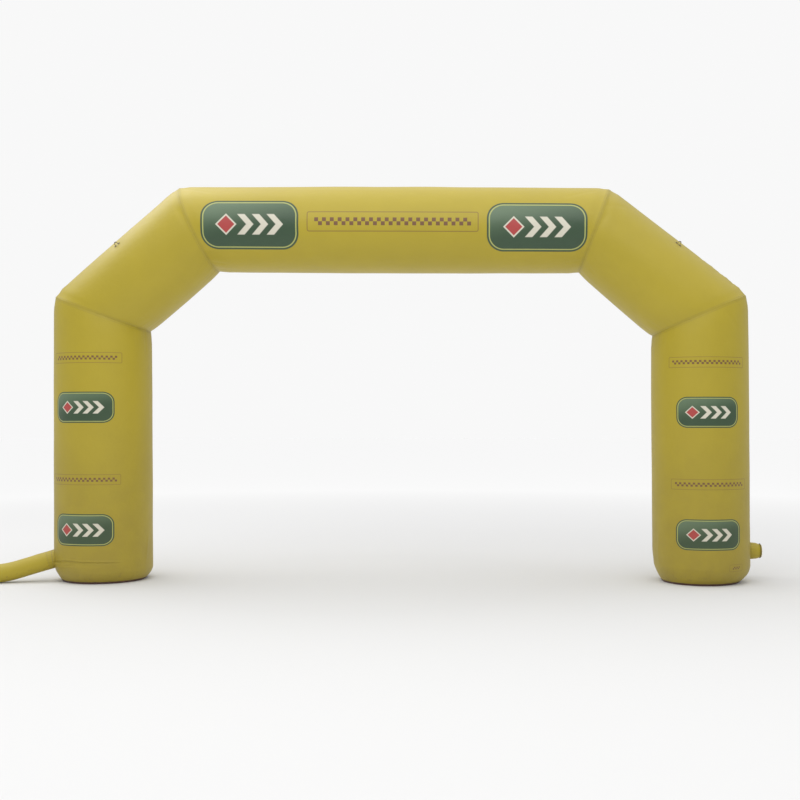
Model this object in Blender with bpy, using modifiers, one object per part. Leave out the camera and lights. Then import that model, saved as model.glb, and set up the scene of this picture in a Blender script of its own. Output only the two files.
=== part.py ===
# Inflatable arch: two legs, two sloping shoulders and a crossbeam, sewn as tubes of coated nylon
# and filled with air. Metres, +Z up. The front faces -Y, +X is to the right as seen from the front,
# and the origin is on the ground, in the middle of the object's length and depth.
import math
from collections import namedtuple

import bmesh
import bpy
from mathutils import Matrix, Vector

# Gaps between pieces that touch
GAP = 0.0003
SLANT_GAP = 0.0006       # where one slants or folds
SEAM_GAP = 0.00018       # each side of a mitre seam, along the cloth

# The five tubes
SIDES = 48               # flat strips round each tube
SHOULDER_RINGS = 12
BEAM_RINGS = 18
BULGE = 0.002            # how far air pressure swells a tube halfway between its seams
SEAM_REACH = 0.075       # how far from a seam its draw-in is felt
SHARP_ANGLE = math.radians(35)

# Where the tubes are cut and sewn: the outermost and innermost points of each section in the
# arch's plane, half its depth from front to back, and how far the seam draws the cloth in.
Section = namedtuple("Section", "outer_x outer_z inner_x inner_z half_depth draw_in")
SECTIONS = {
    "foot_left": Section(-3.520, 0.000, -2.546, 0.000, 0.483, 0.0),
    "low_left": Section(-3.516, 2.875, -2.564, 2.523, 0.461, 0.008),
    "top_left": Section(-2.241, 3.989, -1.856, 3.128, 0.441, 0.008),
    "top_right": Section(2.107, 3.956, 1.799, 3.104, 0.431, 0.008),
    "low_right": Section(3.487, 2.871, 2.535, 2.465, 0.471, 0.010),
    "foot_right": Section(3.517, 0.000, 2.542, 0.000, 0.489, 0.0),
}

# How each foot is drawn in to its base panel: on its outer and inner side, how far, and from what height.
Foot = namedtuple("Foot", "outer_draw outer_height inner_draw inner_height")
FEET = {
    "left": Foot(0.096, 0.20, 0.084, 0.125),
    "right": Foot(0.122, 0.16, 0.106, 0.26),
}
FOOT_CURVE = 1.7         # power of the curve from the leg's side in to the base panel

# Heights of a leg's rings while it is cut square to the ground, then how far up the rest they lie.
FOOT_LEVELS = (0.020, 0.045, 0.080, 0.120, 0.170)
SQUARE_LEVELS = (0.32, 0.44, 0.60)
LEG_RINGS = (0.22, 0.45, 0.68, 0.84, 0.93, 0.975, 1.0)

# The fold that the weight of the left leg presses into its foot, above the inflation sleeve's middle.
CREASE_HEIGHT = 0.222
CREASE_DEPTH = 0.011
CREASE_WIDTH = 0.016
CREASE_MIDDLE = math.radians(48)     # round the leg from its outer side towards the front
CREASE_SPREAD = math.radians(52)
CREASE_LEVELS = (0.190, 0.207, 0.222, 0.237, 0.256)

# Base panels: a heavy sheet under each foot, turned up all round.
BASE_THICK = 0.003
BASE_RIM = 0.020

# Inflation sleeve, low on the outside of the left leg.
SLEEVE_RADIUS = 0.091
SLEEVE_WALL = 0.005
SLEEVE_HEM = 0.032                   # width of the hem round its mouth
SLEEVE_HEM_SWELL = 0.002
SLEEVE_TURN = math.radians(19)       # towards the front from straight out
SLEEVE_FALL = 0.30                   # how steeply it falls from the leg to the ground
# Distances out from the leg's middle, along X
SLEEVE_ROOT = 0.30                   # inside the leg, cut back to the cloth
SLEEVE_LANDS = 0.885                 # where it meets the ground
SLEEVE_STRAIGHTENS = 1.12            # where it turns to lie along X
SLEEVE_END = 1.42
LANDING_BEND = 0.03                  # how softly it bends at each of the two
TURNING_BEND = 0.05
SLEEVE_MOUTH_DEPTH = 0.160
SLEEVE_SIDES = 24
SLEEVE_RINGS = 14

# Vent sleeve, low on the outside of the right leg, tied shut.
VENT_HEIGHT = 0.305
VENT_END_X = 3.631
VENT_SIDES = 24
TIE_FROM_END = 0.014                 # middle of the tie
TIE_NECK = 0.066                     # radius of the cloth under it
TIE_CORD = 0.008                     # its cord's diameter
TIE_SIDES = 8
VentRing = namedtuple("VentRing", "from_end radius")
VENT_RINGS = (
    VentRing(0.240, 0.083),
    VentRing(0.090, 0.082),
    VentRing(0.055, 0.079),
    VentRing(0.030, 0.072),
    VentRing(0.020, TIE_NECK),
    VentRing(0.008, TIE_NECK),
    VentRing(0.002, 0.068),
    VentRing(0.000, 0.062),
)

SLEEVE_NAMES = {"left": "inflation_sleeve", "right": "vent_sleeve"}

# Guy loops, one sewn on each shoulder: how far up it, and how far round towards the front
# from the shoulder's outer side.
Loop = namedtuple("Loop", "up_shoulder towards_front")
LOOPS = {
    "left": Loop(0.500, math.radians(39.5)),
    "right": Loop(0.488, math.radians(31.5)),
}
LOOP_WIDTH = 0.020
LOOP_THICK = 0.0028
LOOP_RADIUS = 0.014
LOOP_RISE = 0.020
LOOP_STEPS = 8
LOOP_FOOT = 0.018
LOOP_SINK = 0.0012                   # sunk by this, then cut back to the cloth

# Everything is drawn about the middle of the passage, then moved so that the whole is centred.
LEG_MIDDLE_X = (SECTIONS["foot_left"].outer_x + SECTIONS["foot_left"].inner_x) / 2
CENTRE_X = (LEG_MIDDLE_X - SLEEVE_END + VENT_END_X) / 2
TO_ORIGIN = Matrix.Translation((-CENTRE_X, 0, 0))


def clear_scene():
    for item in list(bpy.data.objects):
        bpy.data.objects.remove(item)


def new_collection(name):
    group = bpy.data.collections.new(name)
    bpy.context.scene.collection.children.link(group)
    return group


def cloth_material(name, colour, roughness):
    material = bpy.data.materials.new(name)
    material.use_nodes = True
    shader = material.node_tree.nodes["Principled BSDF"]
    shader.inputs["Base Color"].default_value = (*colour, 1.0)
    shader.inputs["Roughness"].default_value = roughness
    shader.inputs["Metallic"].default_value = 0.0
    return material


def finish(bm, name, material, group):
    """Turn a bmesh into an object of the arch, or into a cutter where there is no material."""
    bm.normal_update()
    bmesh.ops.recalc_face_normals(bm, faces=bm.faces[:])
    mesh = bpy.data.meshes.new(name)
    bm.to_mesh(mesh)
    bm.free()
    piece = bpy.data.objects.new(name, mesh)
    piece.matrix_world = TO_ORIGIN
    group.objects.link(piece)
    if material is None:
        piece.hide_render = True
        piece.display_type = "WIRE"
        return piece
    mesh.materials.append(material)
    mesh.shade_smooth()
    mesh.set_sharp_from_angle(angle=SHARP_ANGLE)
    return piece


def cut(piece, cutter):
    """Cut a piece back to its neighbour's cloth."""
    boolean = piece.modifiers.new("seat on " + cutter.name, "BOOLEAN")
    boolean.operation = "DIFFERENCE"
    boolean.solver = "EXACT"
    boolean.object = cutter


def thicken(piece, thickness):
    solid = piece.modifiers.new("cloth thickness", "SOLIDIFY")
    solid.thickness = thickness
    solid.offset = 0.0
    solid.use_even_offset = True


def bell(distance, reach):
    return math.exp(-((distance / reach) ** 2))


def blank_tube(stations, sides):
    """A cylinder one metre in radius standing on the origin, with a ring at each station's height."""
    bm = bmesh.new()
    length = stations[-1] - stations[0]
    lift = Matrix.Translation((0, 0, stations[0] + length / 2))
    bmesh.ops.create_cone(bm, cap_ends=True, segments=sides, radius1=1, radius2=1, depth=length, matrix=lift)
    for station in stations[1:-1]:
        everything = bm.verts[:] + bm.edges[:] + bm.faces[:]
        bmesh.ops.bisect_plane(bm, geom=everything, plane_co=(0, 0, station), plane_no=(0, 0, 1))
    return bm


def section_centre(section):
    return Vector((section.outer_x + section.inner_x, 0, section.outer_z + section.inner_z)) / 2


def section_point(section, angle):
    """A point on a section's oval, at an angle from its outer side towards the front."""
    across = Vector((section.outer_x - section.inner_x, 0, section.outer_z - section.inner_z)) / 2
    towards_front = Vector((0, -section.half_depth, 0))
    return section_centre(section) + across * math.cos(angle) + towards_front * math.sin(angle)


def level_section(foot, joint, height):
    """The section of a leg at a height, cut square to the ground."""
    outer = height / joint.outer_z
    inner = height / joint.inner_z
    middle = (outer + inner) / 2
    return Section(
        foot.outer_x + (joint.outer_x - foot.outer_x) * outer,
        height,
        foot.inner_x + (joint.inner_x - foot.inner_x) * inner,
        height,
        foot.half_depth + (joint.half_depth - foot.half_depth) * middle,
        0.0,
    )


def foot_draw(foot, angle, height):
    """How far the foot is drawn in at a height above the ground."""
    outer_share = (1 + math.cos(angle)) / 2
    reach = foot.outer_height * outer_share + foot.inner_height * (1 - outer_share)
    amount = foot.outer_draw * outer_share + foot.inner_draw * (1 - outer_share)
    return amount * max(0.0, 1 - height / reach) ** FOOT_CURVE


def crease_draw(angle, height):
    round_leg = bell(angle - CREASE_MIDDLE, CREASE_SPREAD)
    return CREASE_DEPTH * round_leg * bell(height - CREASE_HEIGHT, CREASE_WIDTH)


def along(lower, upper, share, angle, grow, pressure):
    """A point of a tube between two sections, swollen by the pressure and drawn in at the seams."""
    start = section_point(lower, angle)
    end = section_point(upper, angle)
    length = (end - start).length
    keep_off = SEAM_GAP / length
    point = start.lerp(end, keep_off + share * (1 - 2 * keep_off))
    centre = section_centre(lower).lerp(section_centre(upper), share)
    seams = lower.draw_in * bell(share * length, SEAM_REACH)
    seams += upper.draw_in * bell((1 - share) * length, SEAM_REACH)
    outward = point - centre
    return point + outward.normalized() * (grow + pressure - seams)


def tube(lower, upper, rings, grow=0.0):
    """A shoulder or the crossbeam, with its rings closer together near the seams."""
    stations = [(1 - math.cos(math.pi * ring / rings)) / 2 for ring in range(rings + 1)]
    bm = blank_tube(stations, SIDES)
    for vert in bm.verts:
        share = vert.co.z
        angle = math.atan2(vert.co.y, vert.co.x)
        vert.co = along(lower, upper, share, angle, grow, BULGE * math.sin(math.pi * share))
    return bm


def leg_surface(foot_section, joint, foot, creased, angle, station, grow):
    """A point on a leg: a station up to 1 is a share of its square part, and from 1 to 2 of the rest."""
    height = min(station, 1.0) * SQUARE_LEVELS[-1]
    level = level_section(foot_section, joint, height)
    if station > 1:
        swelling = BULGE * math.sin(math.pi * (station - 1))
        return along(level, joint, station - 1, angle, grow, swelling)
    point = section_point(level, angle)
    draw = foot_draw(foot, angle, height) + (crease_draw(angle, height) if creased else 0.0)
    return point + (point - section_centre(level)).normalized() * (grow - draw)


def leg(foot_section, joint, foot, creased, grow=0.0):
    """A leg with its rounded foot, standing just above its base panel."""
    heights = [BASE_THICK + GAP, *FOOT_LEVELS, *(CREASE_LEVELS if creased else ()), *SQUARE_LEVELS]
    stations = [height / SQUARE_LEVELS[-1] for height in heights] + [1 + share for share in LEG_RINGS]
    bm = blank_tube(stations, SIDES)
    for vert in bm.verts:
        angle = math.atan2(vert.co.y, vert.co.x)
        vert.co = leg_surface(foot_section, joint, foot, creased, angle, vert.co.z, grow)
    return bm


def big_face_above(bm, height):
    """The end face of a blank tube that lies above a height."""
    return [face for face in bm.faces if len(face.verts) > 4 and face.calc_center_median().z > height]


def base_panel(foot_section, joint, foot):
    """The sheet under a foot: flat on the ground, with its edge turned up against the cloth."""
    bm = blank_tube([0.0, BASE_THICK, BASE_RIM], SIDES)
    top = big_face_above(bm, BASE_THICK)
    bmesh.ops.inset_region(bm, faces=top, thickness=BASE_THICK, use_even_offset=True)
    inside = bmesh.ops.extrude_discrete_faces(bm, faces=top)["faces"][0]
    bmesh.ops.translate(bm, verts=inside.verts[:], vec=(0, 0, BASE_THICK - BASE_RIM))
    for vert in bm.verts:
        angle = math.atan2(vert.co.y, vert.co.x)
        is_inner = math.hypot(vert.co.x, vert.co.y) < 1 - BASE_THICK / 2
        grow = SLANT_GAP if is_inner else SLANT_GAP + BASE_THICK
        station = vert.co.z / SQUARE_LEVELS[-1]
        vert.co = leg_surface(foot_section, joint, foot, False, angle, station, grow)
    return bm


def level_off(distance, limit, softness):
    """The distance up to a limit, with a smooth bend between the two."""
    return limit - softness * math.log(1 + math.exp((limit - distance) / softness))


def sleeve_middle(out):
    """The inflation sleeve's middle line: down from the leg to the ground, then along it."""
    forward = math.tan(SLEEVE_TURN) * level_off(out, SLEEVE_STRAIGHTENS, TURNING_BEND)
    fall = SLEEVE_FALL * (SLEEVE_LANDS - level_off(out, SLEEVE_LANDS, LANDING_BEND))
    lie = SLEEVE_RADIUS + SLEEVE_HEM_SWELL
    return Vector((LEG_MIDDLE_X - out, -forward, lie + fall))


def inflation_sleeve():
    """A cloth tube that runs from the leg down to the ground, with an open hemmed mouth."""
    length = SLEEVE_END - SLEEVE_ROOT
    hem_start = SLEEVE_END - SLEEVE_HEM
    before_hem = hem_start - SLEEVE_WALL
    stations = [SLEEVE_ROOT + length * ring / SLEEVE_RINGS for ring in range(SLEEVE_RINGS)]
    bm = blank_tube(stations + [before_hem, hem_start, SLEEVE_END], SLEEVE_SIDES)
    mouth = big_face_above(bm, hem_start)
    for vert in bm.verts:
        out = vert.co.z
        hemmed = out > (before_hem + hem_start) / 2
        heading = Vector((-1, 0, 0)) if hemmed else sleeve_middle(out + GAP) - sleeve_middle(out - GAP)
        side = heading.cross(Vector((0, 0, 1))).normalized()
        up = side.cross(heading.normalized())
        radius = SLEEVE_RADIUS + (SLEEVE_HEM_SWELL if hemmed else 0.0)
        vert.co = sleeve_middle(out) + (side * vert.co.x + up * vert.co.y) * radius
    bm.normal_update()
    bmesh.ops.inset_region(bm, faces=mouth, thickness=SLEEVE_WALL, use_even_offset=True)
    deep = bmesh.ops.extrude_discrete_faces(bm, faces=mouth)["faces"][0]
    bmesh.ops.translate(bm, verts=deep.verts[:], vec=(SLEEVE_MOUTH_DEPTH, 0, 0))
    return bm


def vent_sleeve():
    """A short round sleeve lying along X, drawn in where it is tied."""
    bm = blank_tube([-ring.from_end for ring in VENT_RINGS], VENT_SIDES)
    for vert in bm.verts:
        ring = min(VENT_RINGS, key=lambda row: abs(row.from_end + vert.co.z))
        across = vert.co.x * ring.radius
        up = vert.co.y * ring.radius
        vert.co = Vector((VENT_END_X + vert.co.z, across, VENT_HEIGHT + up))
    return bm


def vent_tie(material, group):
    """The cord that ties the vent sleeve shut."""
    cord = TIE_CORD / 2
    bpy.ops.mesh.primitive_torus_add(
        major_segments=VENT_SIDES, minor_segments=TIE_SIDES,
        major_radius=TIE_NECK + GAP + cord, minor_radius=cord,
        location=(VENT_END_X - TIE_FROM_END - CENTRE_X, 0, VENT_HEIGHT), rotation=(0, math.pi / 2, 0),
    )
    tie = bpy.context.object
    tie.name = "vent_tie"
    tie.data.materials.append(material)
    tie.data.shade_smooth()
    for holder in tie.users_collection:
        holder.objects.unlink(tie)
    group.objects.link(tie)


def guy_loop(lower, upper, place):
    """A strip of webbing sewn down at both ends, with a loop standing up between them."""
    middle = along(lower, upper, place.up_shoulder, place.towards_front, 0.0, BULGE)
    ahead = along(lower, upper, place.up_shoulder + LOOP_WIDTH, place.towards_front, 0.0, BULGE)
    beside = along(lower, upper, place.up_shoulder, place.towards_front + LOOP_WIDTH, 0.0, BULGE)
    tangent = (ahead - middle).normalized()
    normal = tangent.cross(beside - middle).normalized()
    centre = section_centre(lower).lerp(section_centre(upper), place.up_shoulder)
    if normal.dot(middle - centre) < 0:
        normal.negate()
    across = normal.cross(tangent)
    path = [(-LOOP_RADIUS - LOOP_FOOT, 0.0), (-LOOP_RADIUS, 0.0)]
    for step in range(LOOP_STEPS + 1):
        turn = math.pi * step / LOOP_STEPS
        path.append((-LOOP_RADIUS * math.cos(turn), LOOP_RISE + LOOP_RADIUS * math.sin(turn)))
    path += [(LOOP_RADIUS, 0.0), (LOOP_RADIUS + LOOP_FOOT, 0.0)]
    bm = bmesh.new()
    base = middle + normal * (LOOP_THICK / 2 - LOOP_SINK) - across * LOOP_WIDTH / 2
    line = [bm.verts.new(base + tangent * forward + normal * rise) for forward, rise in path]
    edges = [bm.edges.new(pair) for pair in zip(line, line[1:])]
    strip = bmesh.ops.extrude_edge_only(bm, edges=edges)
    moved = [item for item in strip["geom"] if isinstance(item, bmesh.types.BMVert)]
    bmesh.ops.translate(bm, verts=moved, vec=across * LOOP_WIDTH)
    return bm


def build():
    clear_scene()
    arch = new_collection("inflatable_arch")
    cutters = new_collection("cutters")
    yellow = cloth_material("yellow_coated_nylon", (0.43, 0.33, 0.055), 0.55)
    dark = cloth_material("dark_base_sheet", (0.035, 0.014, 0.012), 0.7)
    webbing = cloth_material("brown_webbing", (0.17, 0.10, 0.03), 0.8)

    for side, creased in (("left", True), ("right", False)):
        foot_section = SECTIONS["foot_" + side]
        low = SECTIONS["low_" + side]
        top = SECTIONS["top_" + side]
        foot = FEET[side]
        finish(leg(foot_section, low, foot, creased), "leg_" + side, yellow, arch)
        finish(base_panel(foot_section, low, foot), "base_" + side, dark, arch)
        finish(tube(low, top, SHOULDER_RINGS), "shoulder_" + side, yellow, arch)
        loop = finish(guy_loop(low, top, LOOPS[side]), "guy_loop_" + side, webbing, arch)
        thicken(loop, LOOP_THICK)
        cut(loop, finish(tube(low, top, SHOULDER_RINGS, GAP), "cutter_shoulder_" + side, None, cutters))
        sleeve = inflation_sleeve() if side == "left" else vent_sleeve()
        sleeve = finish(sleeve, SLEEVE_NAMES[side], yellow, arch)
        leg_cutter = leg(foot_section, low, foot, creased, SLANT_GAP)
        cut(sleeve, finish(leg_cutter, "cutter_leg_" + side, None, cutters))
    finish(tube(SECTIONS["top_left"], SECTIONS["top_right"], BEAM_RINGS), "crossbeam", yellow, arch)
    vent_tie(dark, arch)


build()
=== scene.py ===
# %% [markdown]
# # An inflatable arch
# Five tubes of yellow coated nylon, sewn end to end and held up by nothing but air. The solids of its frame
# have the true sizes. This lesson gives them cloth: panels that are cut flat, rolled, sewn and blown up.
# We start by loading the frame, and by keeping its box, because the cloth has to stay inside it.

import math
from collections import namedtuple

import bmesh
import bpy
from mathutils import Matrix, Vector, noise
from mathutils.bvhtree import BVHTree


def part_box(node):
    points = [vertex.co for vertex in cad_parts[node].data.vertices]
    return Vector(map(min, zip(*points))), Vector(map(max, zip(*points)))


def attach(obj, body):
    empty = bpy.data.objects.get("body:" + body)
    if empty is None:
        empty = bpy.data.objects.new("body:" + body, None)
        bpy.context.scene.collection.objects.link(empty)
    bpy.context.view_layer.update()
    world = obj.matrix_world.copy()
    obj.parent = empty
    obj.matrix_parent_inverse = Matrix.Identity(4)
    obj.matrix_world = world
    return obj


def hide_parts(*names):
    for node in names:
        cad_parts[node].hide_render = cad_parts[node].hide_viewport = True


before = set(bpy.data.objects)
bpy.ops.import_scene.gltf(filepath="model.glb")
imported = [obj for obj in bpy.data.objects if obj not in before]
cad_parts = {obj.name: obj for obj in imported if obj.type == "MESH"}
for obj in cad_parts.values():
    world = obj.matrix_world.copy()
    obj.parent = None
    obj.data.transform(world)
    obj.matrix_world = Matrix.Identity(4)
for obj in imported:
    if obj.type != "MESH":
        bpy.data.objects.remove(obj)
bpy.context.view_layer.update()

# %% [markdown]
# ## The camera
# It stands in front of the arch, a little right of the middle and at a grown-up's eye height. Its lens is
# slightly longer than normal. Tilting the camera would frame the arch too, but the legs would lean. So it
# stays level, and its sensor is shifted instead, as architects' photographers do.

# %% Place the camera
LENS_MM = 51.84
SENSOR_MM = 36.0
CAMERA_PLACE = Vector((1.417, -11.66, 1.62))
LEVEL = math.radians(90)
CAMERA_TURN = math.radians(1.49)
CAMERA_SHIFT = (-0.0875, 0.025)

scene = bpy.context.scene
camera_data = bpy.data.cameras.new("camera")
camera_data.lens = LENS_MM
camera_data.sensor_width = SENSOR_MM
camera_data.shift_x, camera_data.shift_y = CAMERA_SHIFT
camera = bpy.data.objects.new("camera", camera_data)
camera.location = CAMERA_PLACE
camera.rotation_euler = (LEVEL, 0, CAMERA_TURN)
scene.collection.objects.link(camera)
scene.camera = camera
print("camera", tuple(round(x, 2) for x in CAMERA_PLACE))

# %% [markdown]
# ## The studio
# A photographer lights the backdrop apart from the object, and lays one sheet of paper under both, so that
# no line shows where floor and wall meet. The same could be had here from a curved sheet. A flat floor is
# simpler, and it serves every view: the camera sees it in a grey of its own, which brightens away from the
# arch till it meets the backdrop. A Light Path node tells the camera's rays from those that light the cloth.

# %% Build the floor
FLOOR_RADIUS = 90.0
FLOOR_COLOUR = (0.80, 0.80, 0.80, 1)
FLOOR_SEEN = (0.66, 0.66, 0.66, 1)
BACKDROP = (0.94, 0.94, 0.94, 1)
FLOOR_ROUGH = 0.9
FAR_GLOW = (0.30, 0.30, 0.30, 1)
GLOW_FROM = 2.0
GLOW_FULL = 15.0
BLACK = (0.0, 0.0, 0.0, 1)
ROUND_SEGMENTS = 96


def link(obj):
    """Show an object in the scene."""
    scene.collection.objects.link(obj)
    return obj


def seen_by_camera(tree, unseen, seen):
    """One colour for the camera, and another for the light that the surface gives."""
    path = tree.nodes.new("ShaderNodeLightPath")
    mix = tree.nodes.new("ShaderNodeMix")
    mix.data_type = "RGBA"
    tree.links.new(path.outputs["Is Camera Ray"], mix.inputs[0])
    for socket, colour in ((mix.inputs[6], unseen), (mix.inputs[7], seen)):
        if isinstance(colour, bpy.types.NodeSocket):
            tree.links.new(colour, socket)
        else:
            socket.default_value = colour
    return mix.outputs[2]


def build_floor():
    """A wide round floor."""
    bm = bmesh.new()
    bmesh.ops.create_circle(bm, cap_ends=True, segments=ROUND_SEGMENTS, radius=FLOOR_RADIUS)
    mesh = bpy.data.meshes.new("floor")
    bm.to_mesh(mesh)
    bm.free()
    material = bpy.data.materials.new("pale_floor")
    material.use_nodes = True
    tree = material.node_tree
    shader = tree.nodes["Principled BSDF"]
    tree.links.new(seen_by_camera(tree, FLOOR_COLOUR, FLOOR_SEEN), shader.inputs["Base Color"])
    shader.inputs["Roughness"].default_value = FLOOR_ROUGH
    shader.inputs["Specular IOR Level"].default_value = 0.0
    place = tree.nodes.new("ShaderNodeTexCoord")
    away = tree.nodes.new("ShaderNodeVectorMath")
    away.operation = "LENGTH"
    far = tree.nodes.new("ShaderNodeMapRange")
    far.inputs["From Min"].default_value = GLOW_FROM
    far.inputs["From Max"].default_value = GLOW_FULL
    glow = tree.nodes.new("ShaderNodeMix")
    glow.data_type = "RGBA"
    glow.inputs[6].default_value = BLACK
    glow.inputs[7].default_value = FAR_GLOW
    tree.links.new(place.outputs["Object"], away.inputs[0])
    tree.links.new(away.outputs["Value"], far.inputs["Value"])
    tree.links.new(far.outputs[0], glow.inputs[0])
    tree.links.new(seen_by_camera(tree, BLACK, glow.outputs[2]), shader.inputs["Emission Color"])
    shader.inputs["Emission Strength"].default_value = 1.0
    mesh.materials.append(material)
    floor = link(bpy.data.objects.new("floor", mesh))


build_floor()
print("floor laid")

# %% [markdown]
# An arch like this stands under an open sky, and an overcast sky is the softest light there is. So the world
# is a pale dome: brightest overhead, darker in a belt low down and pale again at the ground. Three wide
# panels of light help it: one over the arch for its upper side, one high on the left for the broad gloss on
# the shoulder there, and one in front for the legs. Small lamps would leave hard spots on coated cloth.

# %% Light it
DomeBand = namedtuple("DomeBand", "height grey")
DOME_BANDS = (DomeBand(0.0, 0.76), DomeBand(0.3, 0.34), DomeBand(0.7, 1.17))
Lamp = namedtuple("Lamp", "name place aim size power")
LAMPS = (
    Lamp("over", (0.4, -1.0, 8.5), (0.4, 0.0, 1.5), (12.0, 6.0), 92.0),
    Lamp("high_left", (-5.5, 1.5, 9.0), (-1.0, 0.0, 3.0), (6.0, 6.0), 238.0),
    Lamp("front", (0.4, -7.0, 7.5), (0.4, 0.0, 2.0), (10.0, 4.0), 212.0),
)


def build_dome():
    """The sky: a grey for each height, and the backdrop for the camera."""
    world = bpy.data.worlds.new("overcast_sky")
    world.use_nodes = True
    tree = world.node_tree
    place = tree.nodes.new("ShaderNodeTexCoord")
    parts = tree.nodes.new("ShaderNodeSeparateXYZ")
    ramp = tree.nodes.new("ShaderNodeValToRGB")
    ramp.color_ramp.elements.new(0.5)
    for stop, band in zip(ramp.color_ramp.elements, DOME_BANDS):
        stop.position = band.height
        stop.color = (band.grey, band.grey, band.grey, 1)
    tree.links.new(place.outputs["Generated"], parts.inputs["Vector"])
    tree.links.new(parts.outputs["Z"], ramp.inputs["Fac"])
    sky = seen_by_camera(tree, ramp.outputs["Color"], BACKDROP)
    tree.links.new(sky, tree.nodes["Background"].inputs["Color"])
    scene.world = world


def hang_lamp(lamp):
    """A soft panel of light that the camera doesn't see."""
    light = bpy.data.lights.new(lamp.name, "AREA")
    light.shape = "RECTANGLE"
    light.size, light.size_y = lamp.size
    light.energy = lamp.power
    panel = link(bpy.data.objects.new(lamp.name, light))
    panel.location = lamp.place
    panel.rotation_euler = (Vector(lamp.aim) - Vector(lamp.place)).to_track_quat("-Z", "Y").to_euler()
    panel.visible_camera = False


build_dome()
for lamp in LAMPS:
    hang_lamp(lamp)
scene.view_settings.view_transform = "Standard"
print("dome and", len(LAMPS), "panels of light in place")

# %% [markdown]
# ## Measuring the frame
# A maker measures the seams before cutting cloth. Here a seam is found from its two corners: the points of a
# solid that lie farthest in two directions. A slice through the corners then gives the seam's depth. The
# sizes could be copied from a drawing, but measured ones stay right even if the frame is built anew.

# %% Measure the seam rings
Ring = namedtuple("Ring", "centre across depth")
RingPlace = namedtuple("RingPlace", "node outer_way inner_way")
RING_PLACES = {
    "foot_left": RingPlace("leg_left", (-0.05, 0, -1), (0.05, 0, -1)),
    "low_left": RingPlace("shoulder_left", (-1, 0, -0.5), (0.3, 0, -1)),
    "top_left": RingPlace("crossbeam", (-1, 0, 0.2), (-1, 0, -1)),
    "top_right": RingPlace("crossbeam", (1, 0, 0.2), (1, 0, -1)),
    "low_right": RingPlace("shoulder_right", (1, 0, -0.5), (-0.3, 0, -1)),
    "foot_right": RingPlace("leg_right", (0.05, 0, -1), (-0.05, 0, -1)),
}
SLICE_INSET = 0.001


def solid_points(node):
    """The corner points of a solid of the frame."""
    return [vert.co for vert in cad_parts[node].data.vertices]


def slice_solid(node, point, normal):
    """The points where a plane cuts the surface of a solid of the frame."""
    bm = bmesh.new()
    bm.from_mesh(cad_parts[node].data)
    everything = bm.verts[:] + bm.edges[:] + bm.faces[:]
    cut = bmesh.ops.bisect_plane(bm, geom=everything, plane_co=point, plane_no=normal)
    points = [item.co.copy() for item in cut["geom_cut"] if isinstance(item, bmesh.types.BMVert)]
    bm.free()
    return points


def measure_ring(place):
    """A seam's centre, the way to its outer corner, and its depth."""
    outer = max(solid_points(place.node), key=Vector(place.outer_way).dot).copy()
    inner = max(solid_points(place.node), key=Vector(place.inner_way).dot).copy()
    outer.y = inner.y = 0
    low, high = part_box(place.node)
    centre = (outer + inner) / 2
    inwards = ((low + high) / 2 - centre).normalized() * SLICE_INSET
    normal = (outer - inner).cross(Vector((0, 1, 0)))
    depth = max(abs(point.y) for point in slice_solid(place.node, centre + inwards, normal))
    return Ring(centre, (outer - inner) / 2, depth)


rings = {name: measure_ring(place) for name, place in RING_PLACES.items()}
for name, ring in rings.items():
    print(name, "centre", [round(x, 3) for x in ring.centre], "half width", round(ring.across.length, 3),
          "half depth", round(ring.depth, 3))

# %% [markdown]
# ## Cutting and rolling a panel
# Each tube begins as a flat panel, here a grid. It is rolled round the tube's middle line, and its two long
# edges are sewn together down the back. The grid could be wrapped round a formula, but that would miss the
# feet and the drawn-in seams. So it is pressed on the frame's solid instead: at each height rays find how far
# the solid reaches, and a smooth curve through those distances rounds off the solid's flat strips.

# %% Helpers for a rolled panel
SOLID_STRIPS = 48
SAME_POINT = 1e-5


def between(lower, upper, share):
    """A ring part of the way from one seam to the next."""
    return Ring(
        lower.centre.lerp(upper.centre, share),
        lower.across.lerp(upper.across, share),
        lower.depth + (upper.depth - lower.depth) * share,
    )


def spoke(ring, turn):
    """From a ring's centre to its edge: turn 0 is the outer side, and a quarter turn is the front."""
    return ring.across * math.cos(turn) + Vector((0, -ring.depth, 0)) * math.sin(turn)


def smooth_between(values, place):
    """Read a closed list of values at any place between them, on a smooth curve."""
    before = math.floor(place)
    share = place - before
    a, b, c, d = (values[(before + step) % len(values)] for step in (-1, 0, 1, 2))
    bend = (2 * a - 5 * b + 4 * c - d) + (3 * b - a - 3 * c + d) * share
    return b + 0.5 * share * ((c - a) + share * bend)


def surface_tree(mesh):
    """A search tree of a mesh's faces, for casting rays and finding near points."""
    bm = bmesh.new()
    bm.from_mesh(mesh)
    tree = BVHTree.FromBMesh(bm)
    bm.free()
    return tree


def reach_round(tree, ring):
    """How far a solid reaches along each of a ring's spokes, as a share of the spoke."""
    shares = []
    for strip in range(SOLID_STRIPS):
        out = spoke(ring, math.tau * strip / SOLID_STRIPS)
        hit = tree.ray_cast(ring.centre, out.normalized())
        shares.append(hit[3] / out.length if hit[0] else 1.0)
    return shares


# %% [markdown]
# A grid is rolled the same way for a tube and for a sleeve: a rule says where each of its points goes. Each
# corner of each face also keeps its place on the flat panel in three UV maps: one from 0 to 1, one in metres
# for the print and the weave, and one with its distances from the seams, for the stitches. On real cloth too
# these are drawn before the panel is rolled.

# %% Roll a grid
FLAT_MAP = "flat_panel"
PRINT_MAP = "print_metres"
SEAM_MAP = "seam_metres"


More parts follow.
